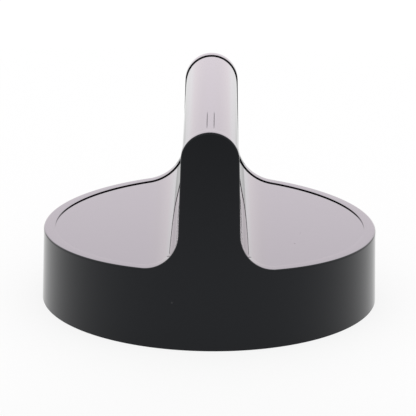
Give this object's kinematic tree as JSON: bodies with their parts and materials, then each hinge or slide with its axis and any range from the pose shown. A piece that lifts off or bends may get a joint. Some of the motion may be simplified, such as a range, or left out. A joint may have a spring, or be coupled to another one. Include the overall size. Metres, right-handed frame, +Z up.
{
  "type": "stove knob",
  "caption": "Round gloss black stove knob with a tall grip bar across low wings, a raised rim and two fine pointer lines, hollow below with a sprung D-shaft socket.",
  "frame": {"origin": "centre of the ring that the skirt stands on", "axes": "+Z up along the shaft axis; the grip bar lies along Y with its pointing end, the one with the two lines, at -Y"},
  "size_m": [0.044, 0.044, 0.0278],
  "materials": {
    "gloss_black": "high gloss moulded black plastic",
    "spring_steel": "bright rolled spring strip"
  },
  "bodies": {
    "root": {"knob_body": "gloss_black", "spring_clip": "spring_steel"}
  },
  "joints": []
}
